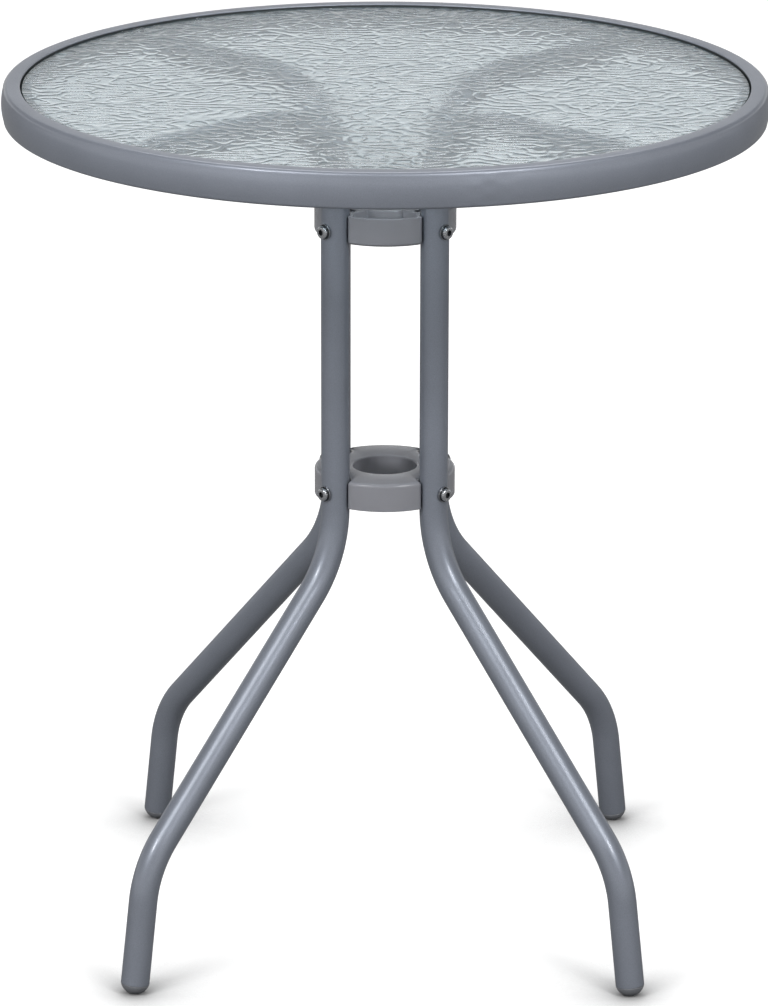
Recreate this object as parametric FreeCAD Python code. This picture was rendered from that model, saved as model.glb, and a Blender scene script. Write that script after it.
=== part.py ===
import FreeCAD, Part
import math
import os

from FreeCAD import Vector

# Round bistro table: a rippled glass top laid in a steel rim, carried by four
# bent tube legs that two moulded couplers hold together as a hollow column.
# Lengths are in millimetres and angles in degrees. +Z is up and the origin is
# on the floor under the centre of the top. The front of the table faces -Y.

# The table as a whole
table_height = 688.0
rim_diameter = 600.0
leg_azimuths = {
    "front_left": 225.0,
    "front_right": 315.0,
    "back_right": 45.0,
    "back_left": 135.0,
}

# Rim hoop, rolled from a flat-sided steel tube with a crowned outer face
rim_height = 28.0
rim_width = 15.0
rim_wall = 1.5
rim_crown = 1.8
rim_outer_bevel = 1.2
rim_inner_bevel = 1.6

# Glass top, with its ground edge, and the soft pads that it lies on
glass_thickness = 5.0
glass_drop = 2.0
glass_side_gap = 1.0
glass_ground_edge = 0.6
glass_rest_gap = 0.3
pad_thickness = 1.0
pad_diameter = 7.0
pad_count = 8

# Flat ring welded inside the rim, which carries the pads
ledge_width = 9.0
ledge_thickness = 2.0

# Leg tube and the line that its axis follows
tube_diameter = 22.5
tube_wall = 1.2
column_radius = 55.0
arm_bend_radius = 75.0
waist_height = 312.0
waist_bend_radius = 95.0
knee_height = 101.0
knee_bend_radius = 84.0
foot_radius = 274.0
foot_splay = 8.2

# Flattened end of the arm, and the lug of the rim that it is bolted under
crush_length = 16.0
crush_slit = 0.6
tab_width = 33.0
tab_thickness = 3.0
tab_margin = 10.0
lug_width = 30.0
lug_thickness = 3.0
lug_margin = 11.0
lug_hole_inset = 16.0

# Moulded coupler: a cap with four half-round seats and a bore for a pole. A seat is a
# little wider than its tube, which bears on the bottom of the seat.
coupler_wrap = 1.0
coupler_height = 22.5
coupler_wall = 3.0
coupler_plate = 3.5
coupler_edge_bevel = 2.0
seat_gap = 0.2
seat_side_gap = 1.0
seat_corner_radius = 3.0
bore_radius = 25.5
bore_ring_wall = 4.0
bore_mouth_bevel = 1.5
boss_width = 17.0
bolt_below_plate = 10.2
lower_coupler_above_bend = 1.8
upper_coupler_below_bend = 2.6

# Hexagon socket button head bolts, washers and nuts
bolt_diameter = 6.0
head_diameter = 10.5
head_height = 3.3
head_edge = 1.1
head_flat_diameter = 5.6
socket_width = 4.0
socket_depth = 2.0
coupler_bolt_past_nut = 1.1
arm_bolt_past_nut = 1.8
bolt_tip_room = 3.0
bolt_hole_gap = 0.3
thread_gap = 0.05
flat_washer_diameter = 12.5
flat_washer_thickness = 1.6
spring_washer_diameter = 11.6
spring_washer_thickness = 1.6
spring_washer_slot = 1.4
washer_hole_gap = 0.2
nut_width = 10.0
nut_height = 5.0
nut_slot_gap = 0.15

# Moulded foot cap: a dome below the tube and a plug pushed into it
cap_overhang = 0.45
cap_dome_flat = 0.4
cap_seam_drop = 2.7
cap_plug_length = 14.0
cap_plug_gap = 0.1
cap_plug_taper = 1.0

# Sizes that follow from the ones above
rim_radius = rim_diameter / 2
rim_inner_radius = rim_radius - rim_width
rim_bottom = table_height - rim_height
glass_radius = rim_inner_radius - glass_side_gap
glass_top_height = table_height - glass_drop
glass_underside = glass_top_height - glass_thickness
pad_top = glass_underside - glass_rest_gap
ledge_top = pad_top - pad_thickness
tube_radius = tube_diameter / 2
tube_inner_radius = tube_radius - tube_wall
coupler_radius = column_radius + coupler_wrap
arm_height = ledge_top - tube_radius
lug_hole_radius = rim_inner_radius - lug_hole_inset
crush_end = lug_hole_radius - tab_margin
crush_start = crush_end - crush_length
tab_top = arm_height + tab_thickness / 2
tab_underside = arm_height - tab_thickness / 2
lug_top = tab_top + lug_thickness
seat_reach = tube_radius + seat_gap
seat_radius = seat_reach + seat_side_gap
seat_centre_radius = column_radius + seat_side_gap
bore_ring_radius = bore_radius + bore_ring_wall
bolt_hole_radius = bolt_diameter / 2 + bolt_hole_gap
nut_outer_face = column_radius - seat_reach - coupler_wall
nut_inner_face = nut_outer_face - nut_height
washer_stack = flat_washer_thickness + spring_washer_thickness
coupler_bolt_seat = column_radius + tube_radius + washer_stack
coupler_bolt_tip = nut_inner_face - coupler_bolt_past_nut
cap_dome_radius = tube_radius + cap_overhang
cap_centre_height = cap_dome_radius - cap_dome_flat
knee_radius = foot_radius - (knee_height - cap_centre_height) * math.tan(math.radians(foot_splay))
waist_turn = math.atan2(knee_radius - column_radius, waist_height - knee_height)
waist_bend_top = waist_height + waist_bend_radius * math.tan(waist_turn / 2)
lower_coupler_top = waist_bend_top + lower_coupler_above_bend + coupler_height
upper_coupler_bottom = arm_height - arm_bend_radius - upper_coupler_below_bend - coupler_height
lower_bolt_height = lower_coupler_top - bolt_below_plate
upper_bolt_height = upper_coupler_bottom + bolt_below_plate


def revolve(points):
    """A ring or disc: a closed outline of (radius, height) corners turned about the Z axis."""
    corners = [Vector(radius, 0, height) for radius, height in points]
    face = Part.Face(Part.makePolygon(corners + corners[:1]))
    return face.revolve(Vector(0, 0, 0), Vector(0, 0, 1), 360)


def revolved_profile(corners, arc_middle):
    """Corners turned about the Z axis, with an arc from the last corner to the first."""
    edges = Part.makePolygon(corners).Edges
    edges.append(Part.Arc(corners[-1], arc_middle, corners[0]).toShape())
    return Part.Face(Part.Wire(edges)).revolve(Vector(0, 0, 0), Vector(0, 0, 1), 360)


def disc(radius, thickness, base=0.0):
    return Part.makeCylinder(radius, thickness, Vector(0, 0, base))


def washer(outer_radius, inner_radius, thickness):
    return disc(outer_radius, thickness).cut(disc(inner_radius, thickness))


def hexagon(width_across_flats, height, base=0.0):
    """A hexagonal prism on the Z axis with two of its corners on the X axis."""
    corner = width_across_flats / math.sqrt(3)
    points = []
    for index in range(7):
        angle = math.radians(60 * index)
        points.append(Vector(corner * math.cos(angle), corner * math.sin(angle), base))
    return Part.Face(Part.makePolygon(points)).extrude(Vector(0, 0, height))


def placed(shape, azimuth):
    """A copy of a shape made in the XZ plane, turned about the table's centre line."""
    copy = shape.copy()
    copy.rotate(Vector(0, 0, 0), Vector(0, 0, 1), azimuth)
    return copy


def group(shapes):
    return Part.makeCompound(shapes)


def around_the_legs(shape):
    return group([placed(shape, azimuth) for azimuth in leg_azimuths.values()])


def pointing_in(shape, radius, height):
    """A shape made along +Z, laid so that +Z runs from `radius` to the centre line."""
    copy = shape.copy()
    copy.rotate(Vector(0, 0, 0), Vector(0, 1, 0), -90)
    copy.translate(Vector(radius, 0, height))
    return copy


def rounded_path(corners, bend_radii):
    """Straight runs through (radius, height) corners, joined by arcs tangent to both runs."""
    points = [Vector(radius, 0, height) for radius, height in corners]
    edges = []
    start = points[0]
    for index, bend_radius in enumerate(bend_radii):
        corner = points[index + 1]
        arriving = (corner - points[index]).normalize()
        leaving = (points[index + 2] - corner).normalize()
        half_turn = arriving.getAngle(leaving) / 2
        tangent = bend_radius * math.tan(half_turn)
        arc_start = corner - arriving * tangent
        arc_end = corner + leaving * tangent
        inward = (leaving - arriving).normalize()
        rise = bend_radius / math.cos(half_turn) - bend_radius
        arc_middle = corner + inward * rise
        edges.append(Part.LineSegment(start, arc_start).toShape())
        edges.append(Part.Arc(arc_start, arc_middle, arc_end).toShape())
        start = arc_end
    edges.append(Part.LineSegment(start, points[-1]).toShape())
    return Part.Wire(edges)


def rim_hoop():
    """The hoop: a box section with bevelled corners and a crowned outer face, hollow inside."""
    shoulder = rim_radius - rim_crown
    middle = rim_bottom + rim_height / 2
    crown_low = Vector(shoulder, 0, rim_bottom + rim_outer_bevel)
    crown_high = Vector(shoulder, 0, table_height - rim_outer_bevel)
    corners = [
        crown_high,
        Vector(shoulder - rim_outer_bevel, 0, table_height),
        Vector(rim_inner_radius + rim_inner_bevel, 0, table_height),
        Vector(rim_inner_radius, 0, table_height - rim_inner_bevel),
        Vector(rim_inner_radius, 0, rim_bottom + rim_inner_bevel),
        Vector(rim_inner_radius + rim_inner_bevel, 0, rim_bottom),
        Vector(shoulder - rim_outer_bevel, 0, rim_bottom),
        crown_low,
    ]
    hoop = revolved_profile(corners, Vector(rim_radius, 0, middle))
    hollow = revolve([
        (rim_inner_radius + rim_wall, rim_bottom + rim_wall),
        (shoulder - rim_wall, rim_bottom + rim_wall),
        (shoulder - rim_wall, table_height - rim_wall),
        (rim_inner_radius + rim_wall, table_height - rim_wall),
    ])
    return hoop.cut(hollow)


def glass_top():
    edge = glass_ground_edge
    return revolve([
        (0, glass_underside),
        (glass_radius - edge, glass_underside),
        (glass_radius, glass_underside + edge),
        (glass_radius, glass_top_height - edge),
        (glass_radius - edge, glass_top_height),
        (0, glass_top_height),
    ])


def glass_ledge():
    inner = rim_inner_radius - ledge_width
    bottom = ledge_top - ledge_thickness
    return revolve([
        (inner, bottom),
        (rim_inner_radius, bottom),
        (rim_inner_radius, ledge_top),
        (inner, ledge_top),
    ])


def glass_pads():
    """Soft round pads evenly spaced on the middle of the ledge."""
    pad = disc(pad_diameter / 2, pad_thickness, ledge_top)
    pad.translate(Vector(rim_inner_radius - ledge_width / 2, 0, 0))
    step = 360.0 / pad_count
    return group([placed(pad, step * (index + 0.5)) for index in range(pad_count)])


def rim_lug():
    """A flat lug with a round nose, welded to the rim's inner wall over an arm's end."""
    nose_radius = lug_width / 2
    nose_centre = lug_hole_radius - lug_margin + nose_radius
    plate = Part.makeBox(
        rim_radius - nose_centre, lug_width, lug_thickness,
        Vector(nose_centre, -lug_width / 2, tab_top))
    nose = disc(nose_radius, lug_thickness, tab_top)
    nose.translate(Vector(nose_centre, 0, 0))
    hole = disc(bolt_hole_radius, lug_thickness, tab_top)
    hole.translate(Vector(lug_hole_radius, 0, 0))
    inside_of_rim = disc(rim_inner_radius, lug_thickness, tab_top)
    return plate.fuse(nose).common(inside_of_rim).cut(hole)


def arm_section(reach, half_width, half_height):
    """An elliptical or round section of the arm, square to it, at a given reach."""
    if half_width == half_height:
        curve = Part.Circle(Vector(0, 0, 0), Vector(0, 0, 1), half_width)
    else:
        curve = Part.Ellipse(Vector(0, 0, 0), half_width, half_height)
    wire = Part.Wire([curve.toShape()])
    across = FreeCAD.Rotation(Vector(0, 1, 0), Vector(0, 0, 1), Vector(1, 0, 0))
    wire.Placement = FreeCAD.Placement(Vector(reach, 0, arm_height), across)
    return wire


def crushed_end(round_radius, half_width, half_height):
    """The press-flattened stretch: round at the tube, a wide flat ellipse at the tab."""
    sections = [
        arm_section(crush_start, round_radius, round_radius),
        arm_section(crush_end, half_width, half_height),
    ]
    return Part.makeLoft(sections, True, True)


def leg_path():
    """The axis of a leg's tube, from its foot to where the arm is flattened."""
    splay = math.radians(foot_splay)
    seam_height = cap_centre_height - cap_seam_drop * math.cos(splay)
    seam_radius = foot_radius + cap_seam_drop * math.sin(splay)
    corners = [
        (seam_radius, seam_height),
        (knee_radius, knee_height),
        (column_radius, waist_height),
        (column_radius, arm_height),
        (crush_start, arm_height),
    ]
    return rounded_path(corners, [knee_bend_radius, waist_bend_radius, arm_bend_radius])


def tube_along(path, radius):
    start = path.Edges[0].Vertexes[0].Point
    heading = path.Edges[0].tangentAt(path.Edges[0].FirstParameter)
    profile = Part.Wire([Part.Circle(start, heading, radius).toShape()])
    return path.makePipeShell([profile], True, False)


def arm_tab():
    """The flat end of the arm: a plate with a round nose that is cut off straight."""
    reach = lug_hole_radius + tab_margin - crush_end
    plate = Part.makeBox(
        lug_hole_radius - crush_end, tab_width, tab_thickness,
        Vector(crush_end, -tab_width / 2, tab_underside))
    nose = disc(tab_width / 2, tab_thickness, tab_underside)
    nose.translate(Vector(lug_hole_radius, 0, 0))
    limit = Part.makeBox(reach, tab_width, tab_thickness, Vector(crush_end, -tab_width / 2, tab_underside))
    return plate.fuse(nose).common(limit)


def leg():
    """One leg in the XZ plane: a bent tube, its flattened end, and its bolt holes."""
    path = leg_path()
    outer = tube_along(path, tube_radius)
    outer = outer.fuse(crushed_end(tube_radius, tab_width / 2, tab_thickness / 2))
    outer = outer.fuse(arm_tab())
    inner = tube_along(path, tube_inner_radius)
    inner = inner.fuse(crushed_end(tube_inner_radius, tab_width / 2 - tube_wall, crush_slit / 2))
    hollow = outer.cut(inner)
    tab_hole = disc(bolt_hole_radius, tab_thickness, tab_underside)
    tab_hole.translate(Vector(lug_hole_radius, 0, 0))
    hollow = hollow.cut(tab_hole)
    for bolt_height in (lower_bolt_height, upper_bolt_height):
        drill = disc(bolt_hole_radius, 2 * tube_diameter)
        drill = pointing_in(drill, column_radius + tube_diameter, bolt_height)
        hollow = hollow.cut(drill)
    return hollow


def foot_cap():
    """A cap in the XZ plane: a plug and a dome on the leg's axis, flat where it stands."""
    seam_radius = math.sqrt(cap_dome_radius ** 2 - cap_seam_drop ** 2)
    plug_radius = tube_inner_radius - cap_plug_gap
    plug_top = cap_plug_length - cap_seam_drop
    half_way = cap_dome_radius * math.sqrt(0.5)
    corners = [
        Vector(seam_radius, 0, -cap_seam_drop),
        Vector(plug_radius, 0, -cap_seam_drop),
        Vector(plug_radius, 0, plug_top - cap_plug_taper),
        Vector(plug_radius - cap_plug_taper, 0, plug_top),
        Vector(0, 0, plug_top),
        Vector(0, 0, -cap_dome_radius),
    ]
    cap = revolved_profile(corners, Vector(half_way, 0, -half_way))
    cap.rotate(Vector(0, 0, 0), Vector(0, 1, 0), -foot_splay)
    cap.translate(Vector(foot_radius, 0, cap_centre_height))
    reach = 2 * cap_dome_radius
    below_floor = Part.makeBox(2 * reach, 2 * reach, reach, Vector(foot_radius - reach, -reach, -reach))
    return cap.cut(below_floor)


def coupler_outline(outer_radius, notch_radius, corner_radius):
    """A disc with four round notches at the legs, its corners rounded, as a flat face."""
    outline = Part.Face(Part.Wire([Part.Circle(Vector(0, 0, 0), Vector(0, 0, 1), outer_radius).toShape()]))
    for azimuth in leg_azimuths.values():
        centre = placed(Part.Vertex(Vector(seat_centre_radius, 0, 0)), azimuth).Point
        notch = Part.Face(Part.Wire([Part.Circle(centre, Vector(0, 0, 1), notch_radius).toShape()]))
        outline = outline.cut(notch)
    body = outline.extrude(Vector(0, 0, coupler_height))
    if corner_radius > 0:
        rim_limit = outer_radius - corner_radius / 2
        corners = []
        for edge in body.Edges:
            ends = [vertex.Point for vertex in edge.Vertexes]
            upright = len(ends) == 2 and abs(ends[0].z - ends[1].z) > coupler_height / 2
            if upright and math.hypot(ends[0].x, ends[0].y) > rim_limit:
                corners.append(edge)
        body = body.makeFillet(corner_radius, corners)
    return body


def coupler():
    """The moulded coupler with its plate on top at z = 0 and its open side below."""
    body = coupler_outline(coupler_radius, seat_radius, seat_corner_radius)
    top_edges = [
        edge for edge in body.Edges
        if min(vertex.Point.z for vertex in edge.Vertexes) > coupler_height / 2
    ]
    body = body.makeChamfer(coupler_edge_bevel, top_edges)
    bore = revolve([
        (0, 0),
        (bore_radius, 0),
        (bore_radius, coupler_height - bore_mouth_bevel),
        (bore_radius + bore_mouth_bevel, coupler_height),
        (0, coupler_height),
    ])

    pocket = coupler_outline(coupler_radius - coupler_wall, seat_radius + coupler_wall, 0)
    pocket = pocket.cut(disc(bore_ring_radius, coupler_height))
    plate = disc(coupler_radius, coupler_plate, coupler_height - coupler_plate)
    pocket = pocket.cut(plate)
    boss = Part.makeBox(
        column_radius, boss_width, coupler_height, Vector(0, -boss_width / 2, 0))
    for azimuth in leg_azimuths.values():
        pocket = pocket.cut(placed(boss, azimuth))

    body = body.cut(bore).cut(pocket)
    bolt_height = coupler_height - bolt_below_plate
    drill_depth = column_radius - coupler_bolt_tip + bolt_tip_room
    drill = pointing_in(disc(bolt_hole_radius, drill_depth), column_radius, bolt_height)
    slot_width = nut_width + 2 * nut_slot_gap
    slot_depth = nut_height + 2 * nut_slot_gap
    nut_seat = hexagon(slot_width, slot_depth)
    nut_seat.rotate(Vector(0, 0, 0), Vector(0, 0, 1), 30)
    nut_seat = pointing_in(nut_seat, nut_outer_face + nut_slot_gap, bolt_height)
    nut_slot = Part.makeBox(
        slot_depth, slot_width, bolt_height,
        Vector(nut_outer_face + nut_slot_gap - slot_depth, -slot_width / 2, 0))
    opening = drill.fuse(nut_seat).fuse(nut_slot)
    for azimuth in leg_azimuths.values():
        body = body.cut(placed(opening, azimuth))
    body.translate(Vector(0, 0, -coupler_height))
    return body


def upright_coupler():
    part = coupler()
    part.translate(Vector(0, 0, lower_coupler_top))
    return part


def inverted_coupler():
    part = coupler()
    part.rotate(Vector(0, 0, 0), Vector(1, 0, 0), 180)
    part.translate(Vector(0, 0, upper_coupler_bottom))
    return part


def button_head_bolt(length):
    """A bolt along +Z whose head's underside is at z = 0, with a hexagon socket."""
    head = revolve([
        (0, 0),
        (head_diameter / 2, 0),
        (head_diameter / 2, -head_edge),
        (head_flat_diameter / 2, -head_height),
        (0, -head_height),
    ])
    socket = hexagon(socket_width, socket_depth, -head_height)
    shank = disc(bolt_diameter / 2, length)
    return head.cut(socket).fuse(shank)


def flat_washer():
    return washer(flat_washer_diameter / 2, bolt_diameter / 2 + washer_hole_gap, flat_washer_thickness)


def spring_washer():
    """A split ring: the slot lies on one side only."""
    ring = washer(spring_washer_diameter / 2, bolt_diameter / 2 + washer_hole_gap, spring_washer_thickness)
    slot = Part.makeBox(
        spring_washer_diameter, spring_washer_slot, spring_washer_thickness,
        Vector(0, -spring_washer_slot / 2, 0))
    return ring.cut(slot)


def nut():
    body = hexagon(nut_width, nut_height)
    body.rotate(Vector(0, 0, 0), Vector(0, 0, 1), 30)
    return body.cut(disc(bolt_diameter / 2 + thread_gap, nut_height))


def coupler_fasteners(height):
    """Bolt, washers and captive nut of one leg at one coupler, each along its radius."""
    flat_washer_seat = coupler_bolt_seat - spring_washer_thickness
    bolt = button_head_bolt(coupler_bolt_seat - coupler_bolt_tip)
    return {
        "bolts": pointing_in(bolt, coupler_bolt_seat, height),
        "spring_washers": pointing_in(spring_washer(), coupler_bolt_seat, height),
        "flat_washers": pointing_in(flat_washer(), flat_washer_seat, height),
        "captive_nuts": pointing_in(nut(), nut_outer_face, height),
    }


def arm_fasteners():
    """Bolt, washers and weld nut that hold one flattened arm end under its lug."""
    def standing(shape, height):
        shape.translate(Vector(lug_hole_radius, 0, height))
        return shape

    flat_washer_seat = tab_underside - flat_washer_thickness
    bolt_seat = tab_underside - washer_stack
    bolt = button_head_bolt(lug_top + nut_height + arm_bolt_past_nut - bolt_seat)
    return {
        "bolts": standing(bolt, bolt_seat),
        "spring_washers": standing(spring_washer(), bolt_seat),
        "flat_washers": standing(flat_washer(), flat_washer_seat),
        "weld_nuts": standing(nut(), lug_top),
    }


def build():
    nodes = {
        "glass_top": glass_top(),
        "rim_hoop": rim_hoop(),
        "glass_ledge": glass_ledge(),
        "glass_pads": glass_pads(),
        "rim_lugs": around_the_legs(rim_lug()),
        "foot_caps": around_the_legs(foot_cap()),
        "upper_coupler": inverted_coupler(),
        "lower_coupler": upright_coupler(),
    }
    one_leg = leg()
    for name, azimuth in leg_azimuths.items():
        nodes["leg_" + name] = placed(one_leg, azimuth)
    joints = {
        "upper": coupler_fasteners(upper_bolt_height),
        "lower": coupler_fasteners(lower_bolt_height),
        "arm": arm_fasteners(),
    }
    for joint, pieces in joints.items():
        for piece, shape in pieces.items():
            nodes[joint + "_" + piece] = around_the_legs(shape)
    return nodes


os.makedirs("parts", exist_ok=True)
for node, shape in build().items():
    solids = len(shape.Solids)
    print(node, "solids", solids, "valid", shape.isValid(), "volume", round(shape.Volume, 1))
    shape.exportStep("parts/" + node + ".step")
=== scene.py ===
import math

import bpy
import numpy as np
from mathutils import Matrix, Vector


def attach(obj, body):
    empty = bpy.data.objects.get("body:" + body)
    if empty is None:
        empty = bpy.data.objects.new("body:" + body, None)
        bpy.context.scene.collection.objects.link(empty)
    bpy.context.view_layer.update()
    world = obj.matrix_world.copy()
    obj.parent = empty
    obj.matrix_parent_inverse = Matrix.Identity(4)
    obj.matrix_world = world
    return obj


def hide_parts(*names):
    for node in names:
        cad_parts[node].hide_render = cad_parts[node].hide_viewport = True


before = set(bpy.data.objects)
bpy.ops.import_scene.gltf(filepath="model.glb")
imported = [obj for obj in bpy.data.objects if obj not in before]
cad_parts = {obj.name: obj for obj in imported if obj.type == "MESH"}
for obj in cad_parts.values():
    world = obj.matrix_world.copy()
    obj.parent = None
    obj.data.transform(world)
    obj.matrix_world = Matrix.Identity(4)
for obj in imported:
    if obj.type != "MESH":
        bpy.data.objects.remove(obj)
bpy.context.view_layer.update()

# Legs. Each is one length of thin steel tube, bent three times, pressed flat at its top end
# and bolted there under the rim. After bending it is powder coated in a metallic grey, which
# lies with a fine orange peel and a little unevenly in tone.
TUBE_RADIUS = 0.01125
COLUMN_RADIUS = 0.055
ARM_HEIGHT = 0.66845
WAIST_HEIGHT = 0.312
KNEE_HEIGHT = 0.101
FOOT_RADIUS = 0.274
FOOT_SPLAY = math.radians(8.2)
FOOT_CENTRE_HEIGHT = 0.0113
FOOT_SEAM_DROP = 0.0027
BEND_RADII = (0.084, 0.095, 0.075)
CRUSH_START = 0.243
CRUSH_END = 0.259
TAB_END = 0.279
TAB_HALF_WIDTH = 0.0165
TAB_HALF_THICKNESS = 0.0015
TAB_SQUARENESS = 0.62
LEGS = {"front_left": 225, "front_right": 315, "back_right": 45, "back_left": 135}


def swung(vector, angle):
    """A flat vector turned by each of many angles."""
    cos, sin = np.cos(angle), np.sin(angle)
    return np.stack([vector[0] * cos - vector[1] * sin, vector[0] * sin + vector[1] * cos], 1)


def rounded_line(corners, bend_radii, arc_points=30, run_points=5):
    """Points and headings in (radius, height) along straight runs joined by arcs tangent to both.

    On a run a point is the start plus a share of the run. On an arc it is the arc's centre
    plus the bend radius, turned evenly from square to the first run to square to the second.
    """
    corners = np.array(corners, float)
    points, headings = [], []
    start = corners[0]
    for index, radius in enumerate(bend_radii):
        corner = corners[index + 1]
        arriving = (corner - corners[index]) / np.linalg.norm(corner - corners[index])
        leaving = (corners[index + 2] - corner) / np.linalg.norm(corners[index + 2] - corner)
        turn = math.atan2(arriving[0] * leaving[1] - arriving[1] * leaving[0], arriving @ leaving)
        arc_start = corner - arriving * radius * math.tan(abs(turn) / 2)
        side = np.array([-arriving[1], arriving[0]]) * math.copysign(1, turn)
        centre = arc_start + side * radius
        share = np.linspace(0, 1, run_points, endpoint=False)[:, None]
        points.append(start + (arc_start - start) * share)
        headings.append(np.repeat(arriving[None], run_points, 0))
        angle = np.linspace(0, turn, arc_points)
        points.append(centre + swung(-side * radius, angle))
        headings.append(swung(arriving, angle))
        start = points[-1][-1]
    share = np.linspace(0, 1, run_points + 1)[1:, None]
    points.append(start + (corners[-1] - start) * share)
    headings.append(np.repeat(leaving[None], run_points, 0))
    return np.concatenate(points), np.concatenate(headings)


def turned(grid, azimuth):
    """A grid made in the XZ plane, turned about the table's centre line by an angle in degrees."""
    cos, sin = math.cos(math.radians(azimuth)), math.sin(math.radians(azimuth))
    x, y, z = grid[..., 0], grid[..., 1], grid[..., 2]
    return np.stack([x * cos - y * sin, x * sin + y * cos, z], -1)


def capped(grid):
    """A grid closed by one more ring at each end, whose points all lie at the end ring's middle."""
    around = grid.shape[1]
    first, last = [np.repeat(ring.mean(0)[None, None], around, 1) for ring in (grid[0], grid[-1])]
    return np.concatenate([first, grid, last])


def skin(name, grids, looped=False, sharp=35, second=range(0)):
    """One mesh over grids of rings, each point of a ring joined to the next and the last to the first.

    Rings are joined to their neighbours with quads. A looped grid's last ring is joined to its
    first; otherwise the first and last rings are single points, closed with triangles. Bands
    whose numbers are in second take the piece's second material.
    """
    vertices, faces, slots, count = [], [], [], 0
    for grid in grids:
        rings, around = grid.shape[:2]
        index = np.arange(rings * around).reshape(rings, around) + count
        if not looped:
            index[0] = index[0, 0]
            index[-1] = index[-1, 0]
        after = np.roll(index, -1, 1)
        upper, upper_after = np.roll(index, -1, 0), np.roll(after, -1, 0)
        quads = np.stack([index, after, upper_after, upper], -1)
        quads = quads if looped else quads[:-1]
        slots.append(np.repeat(np.isin(np.arange(len(quads)), second), around))
        faces.append(quads.reshape(-1, 4))
        vertices.append(grid.reshape(-1, 3))
        count += rings * around
    vertices = np.concatenate(vertices)
    faces = np.concatenate(faces)
    used, renumbered = np.unique(faces, return_inverse=True)
    renumbered = renumbered.reshape(faces.shape)
    polygons = [tuple(dict.fromkeys(face)) for face in renumbered.tolist()]
    mesh = bpy.data.meshes.new(name)
    mesh.from_pydata(vertices[used].tolist(), [], polygons)
    mesh.polygons.foreach_set("material_index", np.concatenate(slots).astype(np.int32))
    mesh.shade_smooth()
    mesh.set_sharp_from_angle(angle=math.radians(sharp))
    piece = bpy.data.objects.new(name, mesh)
    bpy.context.scene.collection.objects.link(piece)
    return piece


def leg_grid(azimuth, around=48):
    """A tube carried along the leg's line, its round section pressed to a flat one at the arm's end.

    A section's point is its centre, plus a half width times cos(angle) sideways, plus a half
    thickness times sin(angle) square to the line, each cosine and sine raised to a power that
    turns the circle into a rounded bar.
    """
    seam = (FOOT_RADIUS + FOOT_SEAM_DROP * math.sin(FOOT_SPLAY),
            FOOT_CENTRE_HEIGHT - FOOT_SEAM_DROP * math.cos(FOOT_SPLAY))
    knee = (FOOT_RADIUS - (KNEE_HEIGHT - FOOT_CENTRE_HEIGHT) * math.tan(FOOT_SPLAY), KNEE_HEIGHT)
    waist = (COLUMN_RADIUS, WAIST_HEIGHT)
    shoulder = (COLUMN_RADIUS, ARM_HEIGHT)
    line, heading = rounded_line([seam, knee, waist, shoulder, (CRUSH_START, ARM_HEIGHT)], BEND_RADII)
    pressed = [np.linspace(CRUSH_START, CRUSH_END, 14)[1:], np.linspace(CRUSH_END, TAB_END, 6)[1:]]
    pressed = np.concatenate(pressed)
    line = np.concatenate([line, np.stack([pressed, np.full_like(pressed, ARM_HEIGHT)], 1)])
    heading = np.concatenate([heading, np.repeat(heading[-1:], len(pressed), 0)])
    on_arm = line[:, 1] > WAIST_HEIGHT
    press = np.clip((line[:, 0] - CRUSH_START) / (CRUSH_END - CRUSH_START), 0, 1) * on_arm
    press = press * press * (3 - 2 * press)
    half_width = TUBE_RADIUS + (TAB_HALF_WIDTH - TUBE_RADIUS) * press
    half_thickness = TUBE_RADIUS + (TAB_HALF_THICKNESS - TUBE_RADIUS) * press
    power = 1 - TAB_SQUARENESS * press
    angle = np.linspace(0, 2 * math.pi, around, endpoint=False)
    cos, sin = np.cos(angle)[None], np.sin(angle)[None]
    sideways = half_width[:, None] * np.sign(cos) * np.abs(cos) ** power[:, None]
    outward = half_thickness[:, None] * np.sign(sin) * np.abs(sin) ** power[:, None]
    radius = line[:, :1] + heading[:, 1:] * outward
    height = line[:, 1:] - heading[:, :1] * outward
    return turned(capped(np.stack([radius, sideways, height], -1)), azimuth)[:, ::-1]


DRIFT_SCALE = 14
FLAKE_SCALE = 2400
GLOSS_SCALE = 900
PEEL_SCALE = 650
DRIFT_SPREAD = 0.06
FLAKE_SPREAD = 0.12
GLOSS_SPREAD = 0.05


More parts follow.
